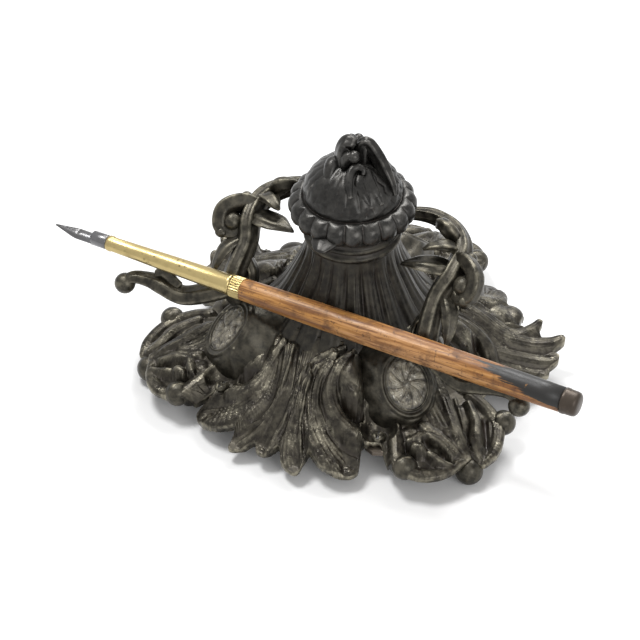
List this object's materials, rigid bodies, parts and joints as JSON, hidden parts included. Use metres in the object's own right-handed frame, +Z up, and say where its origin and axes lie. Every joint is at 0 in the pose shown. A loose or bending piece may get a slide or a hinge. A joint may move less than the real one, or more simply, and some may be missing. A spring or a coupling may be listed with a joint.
{
  "type": "inkwell with music box",
  "caption": "Cast metal inkwell on leaf feet with a hinged domed lid, two pen-rest arms with a dip pen, and a key-wound cylinder music movement inside the base.",
  "frame": {"origin": "on the neck's axis, at the level of the floor", "axes": "+Z up along the neck's axis, -Y towards the front, where the pen lies, +X to the right along the pen"},
  "size_m": [0.1947, 0.1411, 0.0977],
  "materials": {
    "dark_spelter": "dark patinated cast white metal",
    "dark_lid_metal": "dark patinated cast white metal, smoother",
    "worn_silver": "worn silvery relief",
    "steel": "plain steel, slightly tarnished",
    "liner_glass": "clear moulded glass",
    "brown_steel": "browned sheet steel",
    "movement_brass": "lacquered brass",
    "nib_steel": "dark oxidised steel",
    "pen_brass": "tarnished brass with spots",
    "varnished_wood": "scratched orange-brown varnish"
  },
  "bodies": {
    "base": {"base_casting": "dark_spelter", "right_plaque": "worn_silver", "left_plaque": "worn_silver", "back_plaque": "worn_silver", "right_arm": "dark_spelter", "left_arm": "dark_spelter", "ink_liner": "liner_glass", "neck_hinge_leaf": "dark_spelter", "hinge_pin": "steel", "bottom_plate": "brown_steel", "casing_screws": "steel", "casing_nuts": "steel", "bedplate": "movement_brass", "bedplate_screws": "steel", "arbor_bush": "movement_brass", "click_spring": "steel", "cylinder_cock": "movement_brass", "comb": "steel", "comb_base": "movement_brass", "comb_screws": "steel", "governor_frame": "movement_brass", "lever_bracket": "movement_brass", "lever_pin": "steel"},
    "lid": {"lid": "dark_lid_metal", "lid_finial": "dark_lid_metal", "lid_hinge_leaf": "dark_lid_metal"},
    "start_rod": {"start_rod": "steel"},
    "stop_lever": {"stop_lever": "steel"},
    "key": {"winding_arbor": "steel", "ratchet_wheel": "steel", "winding_key": "movement_brass"},
    "barrel": {"spring_barrel": "movement_brass", "mainspring": "steel", "barrel_cover": "movement_brass"},
    "cylinder": {"cylinder_arbor": "steel", "pinned_cylinder": "movement_brass", "cylinder_gear": "movement_brass"},
    "governor": {"governor_wheel": "movement_brass"},
    "fly": {"worm": "steel", "fly": "movement_brass"},
    "pen": {"nib": "nib_steel", "nib_holder": "pen_brass", "ferrule": "pen_brass", "ferrule_band": "pen_brass", "pen_handle": "varnished_wood", "pen_cap": "pen_brass"}
  },
  "joints": [
    {"name": "lid_hinge", "type": "hinge", "parent": "base", "child": "lid", "pos_m": [0, 0.0216, 0.0669], "axis": [-1, 0, 0], "range_deg": [0, 100]},
    {"name": "start_rod_slide", "type": "slide", "parent": "base", "child": "start_rod", "axis": [0, 0, 1], "range_m": [0, 0.002]},
    {"name": "stop_lever_turn", "type": "hinge", "parent": "base", "child": "stop_lever", "pos_m": [0.0154, 0.009, 0.0264], "axis": [0, 1, 0], "range_deg": [0, 22]},
    {"name": "key_turn", "type": "hinge", "parent": "base", "child": "key", "pos_m": [-0.022, -0.004, 0.006], "axis": [0, 0, 1], "continuous": true},
    {"name": "barrel_turn", "type": "hinge", "parent": "base", "child": "barrel", "pos_m": [-0.022, -0.004, 0.0157], "axis": [0, 0, 1], "continuous": true},
    {"name": "cylinder_turn", "type": "hinge", "parent": "base", "child": "cylinder", "pos_m": [0.004, -0.004, 0.02305], "axis": [1, 0, 0], "continuous": true},
    {"name": "governor_turn", "type": "hinge", "parent": "base", "child": "governor", "pos_m": [0.0215, 0.00341, 0.01786], "axis": [1, 0, 0], "continuous": true},
    {"name": "fly_turn", "type": "hinge", "parent": "base", "child": "fly", "pos_m": [0.0215, 0.00901, 0.02], "axis": [0, 0, 1], "continuous": true},
    {"name": "pen_lift", "type": "slide", "parent": "base", "child": "pen", "axis": [0, -0.5, 0.866], "range_m": [0, 0.08]}
  ],
  "couplings": [
    {"joint": "start_rod_slide", "follows": "lid_hinge", "m_per_rad": 0.0011459},
    {"joint": "stop_lever_turn", "follows": "lid_hinge", "ratio": 0.22},
    {"joint": "cylinder_turn", "follows": "barrel_turn", "ratio": 3},
    {"joint": "governor_turn", "follows": "barrel_turn", "ratio": -12},
    {"joint": "fly_turn", "follows": "barrel_turn", "ratio": 240}
  ]
}
